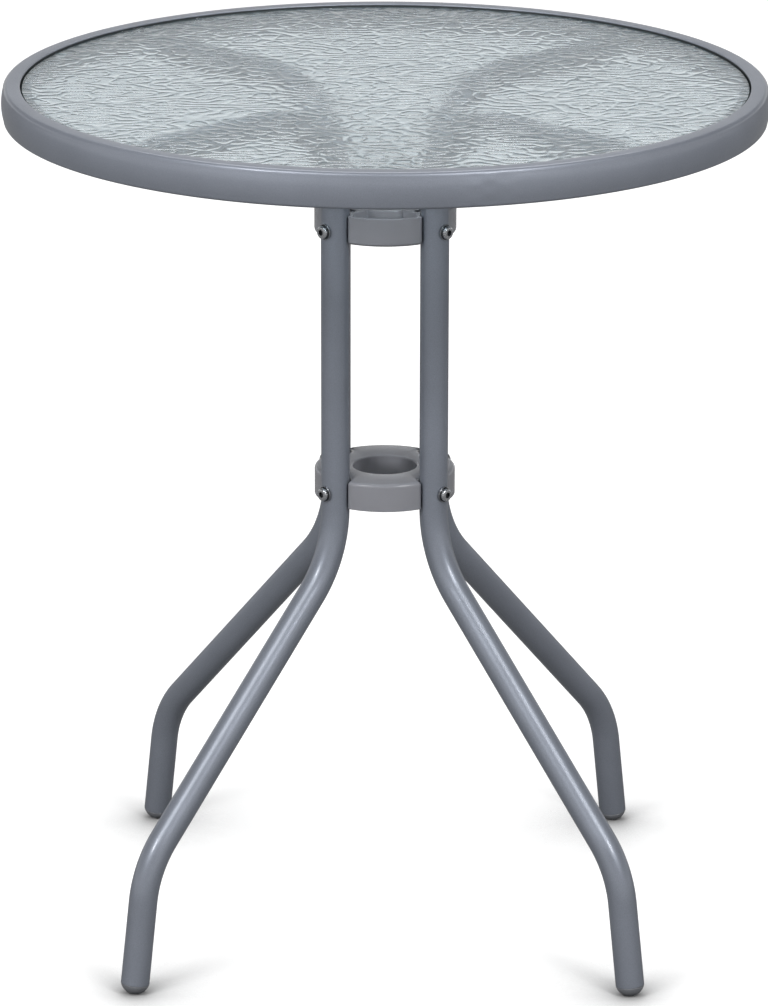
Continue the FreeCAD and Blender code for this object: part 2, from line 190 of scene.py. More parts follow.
def powder_coat(name, colour, roughness=0.42):
    """Metallic powder coat: flakes that shine broadly, under a thin clear skin with a faint orange peel.

    Tiny lighter and darker flakes and slow drifts multiply the colour.
    """
    material = bpy.data.materials.new(name)
    material.use_nodes = True
    tree = material.node_tree
    shader = tree.nodes["Principled BSDF"]
    where = tree.nodes.new("ShaderNodeTexCoord")

    def noise(scale, detail):
        node = tree.nodes.new("ShaderNodeTexNoise")
        node.inputs["Scale"].default_value = scale
        node.inputs["Detail"].default_value = detail
        tree.links.new(where.outputs["Object"], node.inputs["Vector"])
        return node.outputs["Fac"]

    def shade(fac, low, high):
        """A noise's usual range of 0.3 to 0.7, stretched from low to high."""
        node = tree.nodes.new("ShaderNodeMapRange")
        node.inputs["From Min"].default_value = 0.3
        node.inputs["From Max"].default_value = 0.7
        node.inputs["To Min"].default_value = low
        node.inputs["To Max"].default_value = high
        tree.links.new(fac, node.inputs["Value"])
        return node.outputs["Result"]

    drift = tree.nodes.new("ShaderNodeMix")
    drift.data_type = "RGBA"
    drift.inputs["A"].default_value = (*[value * (1 - DRIFT_SPREAD) for value in colour], 1)
    drift.inputs["B"].default_value = (*[value * (1 + DRIFT_SPREAD) for value in colour], 1)
    tree.links.new(shade(noise(DRIFT_SCALE, 3), 0, 1), drift.inputs["Factor"])
    flakes = tree.nodes.new("ShaderNodeMix")
    flakes.data_type = "RGBA"
    flakes.blend_type = "MULTIPLY"
    flakes.inputs["Factor"].default_value = 1
    tree.links.new(drift.outputs["Result"], flakes.inputs["A"])
    tone = tree.nodes.new("ShaderNodeCombineColor")
    sparkle = shade(noise(FLAKE_SCALE, 2), 1 - FLAKE_SPREAD, 1 + FLAKE_SPREAD)
    for channel in ("Red", "Green", "Blue"):
        tree.links.new(sparkle, tone.inputs[channel])
    tree.links.new(tone.outputs["Color"], flakes.inputs["B"])
    tree.links.new(flakes.outputs["Result"], shader.inputs["Base Color"])
    gloss = shade(noise(GLOSS_SCALE, 2), roughness - GLOSS_SPREAD, roughness + GLOSS_SPREAD)
    tree.links.new(gloss, shader.inputs["Roughness"])
    shader.inputs["Metallic"].default_value = 0.5
    shader.inputs["Specular IOR Level"].default_value = 0.15
    shader.inputs["Specular Tint"].default_value = (0.35, 0.36, 0.38, 1)
    shader.inputs["Coat Weight"].default_value = 0.55
    shader.inputs["Coat Roughness"].default_value = 0.16
    shader.inputs["Coat IOR"].default_value = 1.45
    bump = tree.nodes.new("ShaderNodeBump")
    bump.inputs["Strength"].default_value = 0.06
    bump.inputs["Distance"].default_value = 0.0003
    tree.links.new(noise(PEEL_SCALE, 2), bump.inputs["Height"])
    tree.links.new(bump.outputs["Normal"], shader.inputs["Normal"])
    return material


frame_coat = powder_coat("metallic_grey_powder_coat", (0.224, 0.243, 0.284))
for leg, azimuth in LEGS.items():
    tube = skin("leg_tube_" + leg, [leg_grid(azimuth)])
    tube.data.materials.append(frame_coat)
    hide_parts("leg_" + leg)
    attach(tube, "frame")

# Foot caps. Each is moulded in grey plastic: a plug pushed into the tube, and a dome that
# shows below a thin seam and is flat where the table stands.
CAP_DOME_RADIUS = 0.0117
CAP_SEAM_GROOVE = 0.0006
CAP_SEAM_WIDTH = 0.0007
CAP_LIP = 0.0002
CAP_GROOVE_HEIGHT = 0.0005
CAP_IN_TUBE = 0.00005
PLUG_RADIUS = 0.0099
PLUG_LENGTH = 0.0113
PLUG_CHAMFER = 0.001


def foot_cap_grid(azimuth, around=48):
    """A dome and a stub of its plug turned about the tube's line, then held at or above the floor."""
    dome = np.linspace(-math.pi / 2, -math.asin((FOOT_SEAM_DROP + CAP_SEAM_WIDTH) / CAP_DOME_RADIUS), 26)
    shoulder = CAP_DOME_RADIUS * math.cos(dome[-1])
    neck = shoulder - CAP_SEAM_GROOVE
    plug_end = PLUG_RADIUS - PLUG_CHAMFER
    groove = -FOOT_SEAM_DROP - CAP_GROOVE_HEIGHT
    mouth = -FOOT_SEAM_DROP + CAP_IN_TUBE
    stub_radii = [shoulder - CAP_LIP, neck, neck, PLUG_RADIUS, PLUG_RADIUS, plug_end, 0]
    stub_heights = [groove, groove, mouth, mouth, PLUG_LENGTH - PLUG_CHAMFER, PLUG_LENGTH, PLUG_LENGTH]
    radius = np.concatenate([CAP_DOME_RADIUS * np.cos(dome), stub_radii])
    height = np.concatenate([CAP_DOME_RADIUS * np.sin(dome), stub_heights])
    radius[0] = 0
    angle = np.linspace(0, 2 * math.pi, around, endpoint=False)
    x = radius[:, None] * np.cos(angle)
    y = radius[:, None] * np.sin(angle)
    z = np.repeat(height[:, None], around, 1)
    cos, sin = math.cos(FOOT_SPLAY), math.sin(FOOT_SPLAY)
    grid = np.stack([x * cos - z * sin + FOOT_RADIUS, y, x * sin + z * cos + FOOT_CENTRE_HEIGHT], -1)
    grid[..., 2] = np.maximum(grid[..., 2], 0)
    return turned(grid, azimuth)


GRAIN_SCALE = 1100
FLOW_SCALE = 28
FLOW_SPREAD = 0.01


def moulded_plastic(name, colour, roughness):
    """Injection moulded plastic: a fine grain, very slow drifts of tone and an even satin gloss."""
    material = bpy.data.materials.new(name)
    material.use_nodes = True
    tree = material.node_tree
    shader = tree.nodes["Principled BSDF"]
    where = tree.nodes.new("ShaderNodeTexCoord")
    grain = tree.nodes.new("ShaderNodeTexNoise")
    grain.inputs["Scale"].default_value = GRAIN_SCALE
    flow = tree.nodes.new("ShaderNodeTexNoise")
    flow.inputs["Scale"].default_value = FLOW_SCALE
    flow.inputs["Detail"].default_value = 2
    for node in (grain, flow):
        tree.links.new(where.outputs["Object"], node.inputs["Vector"])
    tone = tree.nodes.new("ShaderNodeMix")
    tone.data_type = "RGBA"
    tone.inputs["A"].default_value = (*[value * (1 - FLOW_SPREAD) for value in colour], 1)
    tone.inputs["B"].default_value = (*[value * (1 + FLOW_SPREAD) for value in colour], 1)
    tree.links.new(flow.outputs["Fac"], tone.inputs["Factor"])
    tree.links.new(tone.outputs["Result"], shader.inputs["Base Color"])
    gloss = tree.nodes.new("ShaderNodeMapRange")
    gloss.inputs["To Min"].default_value = roughness - FLOW_SPREAD
    gloss.inputs["To Max"].default_value = roughness + FLOW_SPREAD
    tree.links.new(flow.outputs["Fac"], gloss.inputs["Value"])
    tree.links.new(gloss.outputs["Result"], shader.inputs["Roughness"])
    bump = tree.nodes.new("ShaderNodeBump")
    bump.inputs["Strength"].default_value = 0.1
    bump.inputs["Distance"].default_value = 0.0002
    tree.links.new(grain.outputs["Fac"], bump.inputs["Height"])
    tree.links.new(bump.outputs["Normal"], shader.inputs["Normal"])
    return material


foot_plastic = moulded_plastic("grey_foot_plastic", (0.180, 0.187, 0.204), 0.4)
caps = skin("foot_domes", [foot_cap_grid(azimuth) for azimuth in LEGS.values()])
caps.data.materials.append(foot_plastic)
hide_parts("foot_caps")
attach(caps, "frame")

# Couplers. Two like mouldings in grey plastic grip the four tubes in half-round seats and
# leave a bore for the pole. The lower one lies with its plate up, the upper one upside down.
# Each of the four lobes is hollow below its plate, with ribs on the diagonals for the bolts.
COUPLER_RADIUS = 0.056
COUPLER_HEIGHT = 0.0225
LOWER_COUPLER_TOP = 0.375
UPPER_COUPLER_BOTTOM = 0.56835
COUPLER_WALL = 0.003
COUPLER_PLATE = 0.0035
SEAT_CENTRE_RADIUS = 0.056
SEAT_RADIUS = 0.01245
SEAT_CORNER = 0.003
SEAT_CORNER_LEAST = 0.0006
PLATE_EDGE_ROUND = 0.0028
OPEN_EDGE_ROUND = 0.0004
BORE_RADIUS = 0.0255
BORE_MOUTH_ROUND = 0.0016
BORE_RING_RADIUS = 0.0295
DIAGONAL_RIB_HALF_WIDTH = 0.0085
BOLT_BELOW_PLATE = 0.0102
NUT_OUTER_FACE = 0.04055
NUT_SLOT_DEPTH = 0.0053
NUT_SLOT_HALF_WIDTH = 0.00515
NUT_PLAY = 0.00015
CUT_BEYOND = 0.001


def lobed_ring(inset, height, arc_points=9):
    """The coupler's outline moved inwards by an inset, as one ring of points at a height.

    From each seat's middle it follows the seat's circle, rounds the corner to the outer
    circle with an arc that touches both, and crosses the lobe to the next seat.
    """
    outer, seat = COUPLER_RADIUS - inset, SEAT_RADIUS + inset
    corner = max(SEAT_CORNER - inset, SEAT_CORNER_LEAST)
    reach_outer, reach_seat = outer - corner, seat + corner
    squares = reach_outer ** 2 + SEAT_CENTRE_RADIUS ** 2 - reach_seat ** 2
    lean = math.acos(squares / (2 * reach_outer * SEAT_CENTRE_RADIUS))
    corner_centre = np.array([reach_outer * math.cos(lean), reach_outer * math.sin(lean)])
    from_seat = corner_centre - [SEAT_CENTRE_RADIUS, 0]
    seat_angle = math.atan2(from_seat[1], from_seat[0])
    on_seat = np.linspace(math.pi, seat_angle, 2 * arc_points)
    seat_arc = np.stack([SEAT_CENTRE_RADIUS + seat * np.cos(on_seat), seat * np.sin(on_seat)], 1)
    on_corner = np.linspace(seat_angle - math.pi, lean, arc_points)[1:]
    corner_arc = corner_centre + corner * np.stack([np.cos(on_corner), np.sin(on_corner)], 1)
    on_lobe = np.linspace(lean, math.pi / 4, 2 * arc_points)[1:]
    lobe_arc = outer * np.stack([np.cos(on_lobe), np.sin(on_lobe)], 1)
    eighth = np.concatenate([seat_arc, corner_arc, lobe_arc])
    mirrored = eighth[::-1][:, ::-1][1:-1]
    quarter = np.concatenate([eighth, mirrored])
    grid = np.concatenate([quarter, np.full((len(quarter), 1), height)], 1)
    return np.concatenate([turned(grid, 45 + 90 * step) for step in range(4)])


def round_ring(radius, height, like):
    """A circle of points at a height, each at the angle of its fellow in another ring."""
    angle = np.arctan2(like[:, 1], like[:, 0])
    return np.stack([radius * np.cos(angle), radius * np.sin(angle), np.full_like(angle, height)], 1)


def coupler_grid():
    """Rings round the body: up the lobes, across the plate, over the bore's mouth, down it and back."""
    quarter_turn = np.linspace(0, math.pi / 2, 7)
    plain = lobed_ring(0, 0)
    rings = [round_ring(BORE_RADIUS, -COUPLER_HEIGHT, plain)]
    for angle in quarter_turn:
        rings.append(round_ring(
            BORE_RADIUS + BORE_MOUTH_ROUND * (1 - math.cos(angle)),
            -BORE_MOUTH_ROUND * (1 - math.sin(angle)), plain))
    for angle in quarter_turn[::-1]:
        rings.append(lobed_ring(
            PLATE_EDGE_ROUND * (1 - math.cos(angle)), -PLATE_EDGE_ROUND * (1 - math.sin(angle))))
    rings.append(lobed_ring(0, -COUPLER_HEIGHT + OPEN_EDGE_ROUND))
    rings.append(lobed_ring(OPEN_EDGE_ROUND, -COUPLER_HEIGHT))
    return np.array(rings)[::-1]


def pocket_grid(azimuth, arc_points=17):
    """A lobe's hollow, to be cut away: its outline between two ribs, widening a little at its mouth.

    Each ring runs along an arc by the bore, an arc round a seat, an arc inside the outer wall
    and an arc round the other seat. The pairs are how far a ring spreads, and its height.
    """
    inner, outer = BORE_RING_RADIUS, COUPLER_RADIUS - COUPLER_WALL
    seat = SEAT_RADIUS + COUPLER_WALL
    bottom, top = -COUPLER_HEIGHT, -COUPLER_PLATE
    mouth = ((0.0012, bottom - 0.0008), (0.0004, bottom), (0.0001, bottom + 0.0004))
    inside = ((0, top - 0.0006), (-0.0006, top))
    diagonal, across = np.array([1, 1]) * 0.5 ** 0.5, np.array([1, -1]) * 0.5 ** 0.5
    seat_middle = SEAT_CENTRE_RADIUS * diagonal
    spoke = np.linspace(-1, 1, arc_points)
    rings = []
    for spread, height in mouth + inside:
        near, far = inner - spread, outer + spread
        rib, seat_reach = DIAGONAL_RIB_HALF_WIDTH - spread, seat - spread
        rib_angle = math.pi / 4 - math.asin(rib / near)
        near_arc = near * np.stack([np.cos(spoke * rib_angle), np.sin(spoke * rib_angle)], 1)
        squares = far ** 2 + SEAT_CENTRE_RADIUS ** 2 - seat_reach ** 2
        far_angle = math.pi / 4 - math.acos(squares / (2 * far * SEAT_CENTRE_RADIUS))
        far_arc = far * np.stack([np.cos(spoke[::-1] * far_angle), np.sin(spoke[::-1] * far_angle)], 1)
        first = far_arc[0] - seat_middle
        last = rib * across - math.sqrt(seat_reach ** 2 - rib ** 2) * diagonal
        sweep = np.linspace(math.atan2(last[1], last[0]), math.atan2(first[1], first[0]), 9)[:-1]
        seat_arc = seat_middle + seat_reach * np.stack([np.cos(sweep), np.sin(sweep)], 1)
        other_arc = seat_arc[::-1] * [1, -1]
        outline = np.concatenate([near_arc, seat_arc, far_arc, other_arc])
        rings.append(np.concatenate([outline, np.full((len(outline), 1), height)], 1))
    return turned(capped(np.array(rings)), azimuth)[:, ::-1]


def nut_slot_grid(azimuth):
    """The slot beside a bolt that its captive nut is slid into, open at the coupler's open side."""
    high = -BOLT_BELOW_PLATE + NUT_SLOT_HALF_WIDTH
    low = -COUPLER_HEIGHT - CUT_BEYOND
    far = NUT_OUTER_FACE + NUT_PLAY
    near = far - NUT_SLOT_DEPTH
    half = NUT_SLOT_HALF_WIDTH
    corners = [(near, -half), (far, -half), (far, half), (near, half)]
    rings = [[(x, y, height) for x, y in corners] for height in (low, high)]
    return turned(capped(np.array(rings)), azimuth)


def coupler(name, upside_down, height):
    """The body with its hollows cut away, placed in the column."""
    body = skin(name, [coupler_grid()], looped=True)
    cutter = skin(name + "_hollows", [pocket_grid(90 * step) for step in range(4)]
                  + [nut_slot_grid(azimuth) for azimuth in LEGS.values()])
    cut = body.modifiers.new("hollows", "BOOLEAN")
    cut.operation = "DIFFERENCE"
    cut.solver = "EXACT"
    cut.object = cutter
    shaped = bpy.data.meshes.new_from_object(body.evaluated_get(bpy.context.evaluated_depsgraph_get()))
    body.modifiers.clear()
    bpy.data.objects.remove(cutter)
    points = np.empty(len(shaped.vertices) * 3)
    shaped.vertices.foreach_get("co", points)
    points = points.reshape(-1, 3)
    if upside_down:
        points[:, 1:] *= -1
    points[:, 2] += height
    shaped.vertices.foreach_set("co", points.ravel())
    shaped.shade_smooth()
    shaped.set_sharp_from_angle(angle=math.radians(38))
    body.data = shaped
    return body


coupler_plastic = moulded_plastic("grey_coupler_plastic", (0.208, 0.211, 0.231), 0.2)
couplers = {"lower_coupler": (False, LOWER_COUPLER_TOP), "upper_coupler": (True, UPPER_COUPLER_BOTTOM)}
for node, (upside_down, height) in couplers.items():
    moulding = coupler(node + "_moulding", upside_down, height)
    moulding.data.materials.append(coupler_plastic)
    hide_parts(node)
    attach(moulding, "frame")

# Bolts, washers and nuts. Zinc plated M6 button heads with a hexagon socket, each over a split
# spring washer and a flat washer, in a captive nut in the coupler or a nut welded on the lug.
HEAD_RADIUS = 0.0052
HEAD_HEIGHT = 0.0024
HEAD_EDGE = 0.0009
HEAD_FLAT_RADIUS = 0.0032
HEAD_SEAT_CHAMFER = 0.0002
SOCKET_WIDTH = 0.0042
SOCKET_DEPTH = 0.0018
SOCKET_CONE = 0.0004
SOCKET_CHAMFER = 0.00018
SOCKET_BANDS = range(0, 3)
SHANK_RADIUS = 0.003
NECK_LENGTH = 0.001
THREAD_DEPTH = 0.00045
THREAD_PITCH = 0.001
THREAD_START_SHARE = 0.45
THREAD_END_CHAMFER = 0.0008
WASHER_THICKNESS = 0.0011
FLAT_WASHER_RADIUS = 0.00625
SPRING_WASHER_RADIUS = 0.0058
WASHER_HOLE_RADIUS = 0.0032
NUT_WIDTH = 0.010
NUT_HEIGHT = 0.005
NUT_BORE_PLAY = 0.0001
NUT_BORE_CHAMFER = 0.0005
NUT_CORNER_STEP = 0.0004
NUT_FACE_SHARE = 0.97
NUT_CONE_SLOPE = 1.1
LUG_HOLE_RADIUS = 0.269
ARM_BOLT_SEAT = 0.66375
ARM_NUT_BASE = 0.67295
COUPLER_BOLT_SEAT = COLUMN_RADIUS + TUBE_RADIUS + 2 * WASHER_THICKNESS
COUPLER_BOLT_LENGTH = 0.0350
ARM_BOLT_LENGTH = 0.0160
AROUND = 48
FASTENER_ANGLE = np.linspace(0, 2 * math.pi, AROUND, endpoint=False)


def hexagon_radius(width, angle):
    """Distance from a hexagon's centre to its side in each direction, a corner lying at angle zero."""
    return width / 2 / np.cos((angle % (math.pi / 3)) - math.pi / 6)


def lathe(radii, heights):
    """Rings of points at given heights. A radius is a number, or one for each direction."""
    rings = []
    for radius, height in zip(radii, heights):
        radius = np.broadcast_to(radius, FASTENER_ANGLE.shape)
        rings.append(np.stack([
            radius * np.cos(FASTENER_ANGLE), radius * np.sin(FASTENER_ANGLE),
            np.broadcast_to(height, FASTENER_ANGLE.shape)], 1))
    return np.array(rings)


def bolt_grid(length):
    """Socket floor, socket, domed head, then a threaded shank, with the head's seat at height zero.

    The dome is an arc of a circle from the head's edge to the flat round its socket. The
    thread's radius falls and rises once for each pitch, a full turn behind for each pitch up.
    """
    hexagon = hexagon_radius(SOCKET_WIDTH, FASTENER_ANGLE)
    socket_floor = -HEAD_HEIGHT + SOCKET_DEPTH
    radii = [0, hexagon, hexagon, hexagon + SOCKET_CHAMFER]
    heights = [socket_floor + SOCKET_CONE, socket_floor, -HEAD_HEIGHT + SOCKET_CHAMFER, -HEAD_HEIGHT]
    share = np.linspace(0, math.pi / 2, 9)
    radii += list(HEAD_FLAT_RADIUS + (HEAD_RADIUS - HEAD_FLAT_RADIUS) * np.sin(share))
    heights += list(-HEAD_EDGE - (HEAD_HEIGHT - HEAD_EDGE) * np.cos(share))
    radii += [HEAD_RADIUS, HEAD_RADIUS - HEAD_SEAT_CHAMFER, SHANK_RADIUS, SHANK_RADIUS]
    heights += [-HEAD_SEAT_CHAMFER, 0, 0, NECK_LENGTH]
    for height in np.arange(length * THREAD_START_SHARE, length - THREAD_END_CHAMFER, THREAD_PITCH / 5):
        turn = (height / THREAD_PITCH - FASTENER_ANGLE / (2 * math.pi)) % 1
        radii.append(SHANK_RADIUS - THREAD_DEPTH * (1 - np.abs(2 * turn - 1)))
        heights.append(height)
    radii += [SHANK_RADIUS - THREAD_END_CHAMFER, 0]
    heights += [length, length]
    return lathe(radii, heights)


def flat_washer_grid():
    """A plain ring with its edges a little rounded, rising from height zero."""
    inner, outer, thick, soft = WASHER_HOLE_RADIUS, FLAT_WASHER_RADIUS, WASHER_THICKNESS, 0.0002
    radii = [inner, outer - soft, outer, outer, outer - soft, inner]
    return lathe(radii, [0, 0, soft, thick - soft, thick, thick])


def spring_washer_grid(split=0.16, slant=0.12):
    """An open ring of square section, its two ends cut on a slant and standing a little apart."""
    inner, outer, thick = WASHER_HOLE_RADIUS, SPRING_WASHER_RADIUS, WASHER_THICKNESS
    soft = 0.00025
    radius = np.array([inner, outer - soft, outer, outer, outer - soft, inner])
    height = np.array([0, 0, soft, thick - soft, thick, thick])
    rings = []
    for step in np.linspace(0, 1, 40):
        angle = split + (2 * math.pi - 2 * split) * step + slant * (height / thick - 0.5)
        rings.append(np.stack([radius * np.cos(angle), radius * np.sin(angle), height], 1))
    return capped(np.array(rings))[:, ::-1]


def nut_grid():
    """A hexagon whose corners are cut by a cone at both ends, with a plain bore."""
    hexagon = hexagon_radius(NUT_WIDTH, FASTENER_ANGLE + math.pi / 6)
    bore = SHANK_RADIUS + NUT_BORE_PLAY
    mouth = bore + NUT_BORE_CHAMFER
    steps = np.arange(3) * NUT_CORNER_STEP
    radii, heights = [bore, mouth], [NUT_BORE_CHAMFER, 0]
    for height in (*steps, *(NUT_HEIGHT - steps[::-1])):
        from_end = min(height, NUT_HEIGHT - height)
        radii.append(np.minimum(hexagon, NUT_WIDTH / 2 * NUT_FACE_SHARE + from_end * NUT_CONE_SLOPE))
        heights.append(height)
    radii += [mouth, bore]
    heights += [NUT_HEIGHT, NUT_HEIGHT - NUT_BORE_CHAMFER]
    return lathe(radii, heights)


def pointing_in(grid, radius, height):
    """A grid made along +Z, laid so that +Z runs from a radius towards the centre line."""
    return np.stack([radius - grid[..., 2], grid[..., 1], height + grid[..., 0]], -1)


def standing(grid, height):
    """A grid made along +Z, stood upright at a height in a lug's hole."""
    return grid + [LUG_HOLE_RADIUS, 0, height]


CLOUD_SCALE = 1500
CLOUD_SPREAD = 0.15
CLOUD_GLOSS_SPREAD = 0.08


def zinc_plate(name, colour, roughness):
    """Zinc plate: a metal whose gloss and tone are cloudy at less than a millimetre."""
    material = bpy.data.materials.new(name)
    material.use_nodes = True
    tree = material.node_tree
    shader = tree.nodes["Principled BSDF"]
    where = tree.nodes.new("ShaderNodeTexCoord")
    cloud = tree.nodes.new("ShaderNodeTexNoise")
    cloud.inputs["Scale"].default_value = CLOUD_SCALE
    cloud.inputs["Detail"].default_value = 3
    tree.links.new(where.outputs["Object"], cloud.inputs["Vector"])
    tone = tree.nodes.new("ShaderNodeMix")
    tone.data_type = "RGBA"
    tone.inputs["A"].default_value = (*[value * (1 - CLOUD_SPREAD) for value in colour], 1)
    tone.inputs["B"].default_value = (*[value * (1 + CLOUD_SPREAD) for value in colour], 1)
    tree.links.new(cloud.outputs["Fac"], tone.inputs["Factor"])
    tree.links.new(tone.outputs["Result"], shader.inputs["Base Color"])
    gloss = tree.nodes.new("ShaderNodeMapRange")
    gloss.inputs["To Min"].default_value = roughness - CLOUD_GLOSS_SPREAD
    gloss.inputs["To Max"].default_value = roughness + CLOUD_GLOSS_SPREAD
    tree.links.new(cloud.outputs["Fac"], gloss.inputs["Value"])
    tree.links.new(gloss.outputs["Result"], shader.inputs["Roughness"])
    shader.inputs["Metallic"].default_value = 1
    return material


bolt_zinc = zinc_plate("bright_zinc", (0.46, 0.47, 0.49), 0.26)
washer_zinc = zinc_plate("dull_zinc", (0.36, 0.37, 0.39), 0.3)
# The spring washers are blackened steel, and their near-black tone also stands as painted shade of the
# groove between head and flat washer.
spring_steel = zinc_plate("blackened_spring_steel_and_groove_shade", (0.07, 0.075, 0.08), 0.35)
# The hexagon sockets' floor and walls take a near-black second material: painted shade in the recess.
socket_painted_shade = moulded_plastic("painted_socket_shade", (0.012, 0.013, 0.015), 0.3)
lower_bolt_height = LOWER_COUPLER_TOP - BOLT_BELOW_PLATE
upper_bolt_height = UPPER_COUPLER_BOTTOM + BOLT_BELOW_PLATE
flat_seat = COUPLER_BOLT_SEAT - WASHER_THICKNESS
pieces = {}
for joint, height in (("lower", lower_bolt_height), ("upper", upper_bolt_height)):
    pieces[joint + "_bolts"] = pointing_in(bolt_grid(COUPLER_BOLT_LENGTH), COUPLER_BOLT_SEAT, height)
    pieces[joint + "_spring_washers"] = pointing_in(spring_washer_grid(), COUPLER_BOLT_SEAT, height)
    pieces[joint + "_flat_washers"] = pointing_in(flat_washer_grid(), flat_seat, height)
    pieces[joint + "_captive_nuts"] = pointing_in(nut_grid(), NUT_OUTER_FACE, height)
pieces["arm_bolts"] = standing(bolt_grid(ARM_BOLT_LENGTH), ARM_BOLT_SEAT)
pieces["arm_spring_washers"] = standing(spring_washer_grid(), ARM_BOLT_SEAT)
pieces["arm_flat_washers"] = standing(flat_washer_grid(), ARM_BOLT_SEAT + WASHER_THICKNESS)
pieces["arm_weld_nuts"] = standing(nut_grid(), ARM_NUT_BASE)
for node, grid in pieces.items():
    ring = "flat_washers" in node or "nuts" in node
    dark = SOCKET_BANDS if "bolts" in node else range(0)
    around_table = [turned(grid, azimuth) for azimuth in LEGS.values()]
    set_of_four = skin(node + "_set", around_table, looped=ring, sharp=30, second=dark)
    dull = "washers" in node
    plate = spring_steel if "spring" in node else washer_zinc if dull else bolt_zinc
    set_of_four.data.materials.append(plate)
    if dark:
        set_of_four.data.materials.append(socket_painted_shade)
    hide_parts(node)
    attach(set_of_four, "frame")

# Rim. A hoop of box tube with a crowned outer face and soft shoulders, butt welded at one
# place, ground flush there and coated. It carries a ledge inside for the glass, and four
# lugs for the arms.
RIM_TOP = 0.688
RIM_HEIGHT = 0.028
RIM_INNER_RADIUS = 0.285
RIM_OUTER_RADIUS = 0.29992
RIM_CROWN = 0.0026
RIM_SHOULDER = 0.0036
RIM_INNER_CORNER = 0.0009
RIM_DARK_DOWN_TO = 0.6797
RIM_PAINTED_SHADE_BAND = range(37, 38)
WELD_AZIMUTH = math.radians(-75)
WELD_HALF_WIDTH = 0.020
WELD_DIP = 0.00016
WELD_WAVES_ALONG = 5.3
WELD_WAVES_UP = 520


def rim_grid(around=720, corner_points=9, crown_points=21):
    """A closed section turned about the centre line.

    The outer face is a parabola through the hoop's widest point. Each corner is a quarter turn
    of its own radius, and flats join them. Near the weld the section dips and waves by a few
    tenths of a millimetre, where it was ground.
    """
    bottom = RIM_TOP - RIM_HEIGHT
    middle = RIM_TOP - RIM_HEIGHT / 2
    half_face = RIM_HEIGHT / 2 - RIM_SHOULDER
    up = np.linspace(-half_face, half_face, crown_points)
    face_radius = RIM_OUTER_RADIUS - RIM_CROWN * (up / (RIM_HEIGHT / 2)) ** 2
    edge = face_radius[-1]
    tilt = math.atan(2 * RIM_CROWN * half_face / (RIM_HEIGHT / 2) ** 2)
    outer_turn = np.linspace(tilt, math.pi / 2, corner_points)[1:]
    outer_r = edge - RIM_SHOULDER * (math.cos(tilt) - np.cos(outer_turn))
    outer_z = middle + half_face + RIM_SHOULDER * (np.sin(outer_turn) - math.sin(tilt))
    outer_z = outer_z + (RIM_TOP - outer_z[-1])
    inner_turn = np.linspace(math.pi / 2, math.pi, corner_points)
    inner_r = RIM_INNER_RADIUS + RIM_INNER_CORNER + RIM_INNER_CORNER * np.cos(inner_turn)
    inner_z = RIM_TOP - RIM_INNER_CORNER + RIM_INNER_CORNER * np.sin(inner_turn)
    radius = np.concatenate([face_radius, outer_r, inner_r, inner_r[-1:], inner_r[::-1], outer_r[::-1]])
    upper = np.concatenate([middle + up, outer_z, inner_z, [RIM_DARK_DOWN_TO]])
    height = np.concatenate([upper, 2 * middle - inner_z[::-1], 2 * middle - outer_z[::-1]])
    angle = np.linspace(-math.pi, math.pi, around, endpoint=False)
    along = (angle - WELD_AZIMUTH) * RIM_OUTER_RADIUS / WELD_HALF_WIDTH
    height = np.repeat(height[:, None], around, 1)
    waves = np.cos(along * WELD_WAVES_ALONG) * np.cos(height * WELD_WAVES_UP + along)
    ground = np.exp(-along ** 2) * WELD_DIP * (1 + waves)
    outside = np.clip((radius[:, None] - RIM_INNER_RADIUS) / (RIM_OUTER_RADIUS - RIM_INNER_RADIUS), 0, 1)
    reach = radius[:, None] - ground * outside
    return np.stack([reach * np.cos(angle), reach * np.sin(angle), height], -1)


# The inner wall's strip from its corner down to the glass takes a near-black second material: painted
# shade.
rim = skin("rim_tube", [rim_grid()], looped=True, sharp=60, second=RIM_PAINTED_SHADE_BAND)
rim.data.materials.append(frame_coat)
rim.data.materials.append(moulded_plastic("painted_shade_above_glass", (0.018, 0.022, 0.025), 0.5))
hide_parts("rim_hoop")
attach(rim, "frame")
for node in ("glass_ledge", "rim_lugs"):
    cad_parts[node].data.materials.clear()
    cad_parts[node].data.materials.append(frame_coat)

# Pads. Eight soft clear buttons on the ledge keep the glass off the steel.
silicone = moulded_plastic("milky_silicone", (0.62, 0.65, 0.66), 0.4)
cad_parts["glass_pads"].data.materials.clear()
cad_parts["glass_pads"].data.materials.append(silicone)

# Glass top. Tempered glass with a fine ripple rolled into its upper face while it was hot,
# flat below, and ground round its edge, a bottle green painted near black as painted shade.
# It lies loose in the rim.
GLASS_RADIUS = 0.284
GLASS_TOP = 0.686
GLASS_UNDERSIDE = 0.681
GLASS_EDGE = 0.0006
RIPPLE_DEPTH = 0.00007
RIPPLE_CRISP_DEPTH = 0.00023
RIPPLE_PITCH = 0.0158
RIPPLE_DRAWN_SIDEWAYS = 1.65
RIPPLE_WIDTH = 0.58
RIPPLE_WAVES = 70
RIPPLE_FADE = 0.004
FAR_FROM_RIDGE = 9.0


def ripple_field(x, y):
    """The sum of many plane waves of about one pitch, in even steps of heading, with phases of their own.

    The roller draws it out sideways. It is zero along a maze of wandering lines, and the glass
    has a low round ridge along each: depth times e to the power of minus (field / width) squared.
    """
    source = np.random.default_rng(11)
    heading = np.linspace(0, math.pi, RIPPLE_WAVES, endpoint=False)
    pitch = RIPPLE_PITCH * source.uniform(0.82, 1.22, RIPPLE_WAVES)
    phase = source.uniform(0, 2 * math.pi, RIPPLE_WAVES)
    total = np.zeros_like(x)
    x = x / RIPPLE_DRAWN_SIDEWAYS
    for direction, wavelength, offset in zip(heading, pitch, phase):
        along = x * math.cos(direction) + y * math.sin(direction)
        total += np.cos(2 * math.pi * along / wavelength + offset)
    return total / math.sqrt(RIPPLE_WAVES / 2)


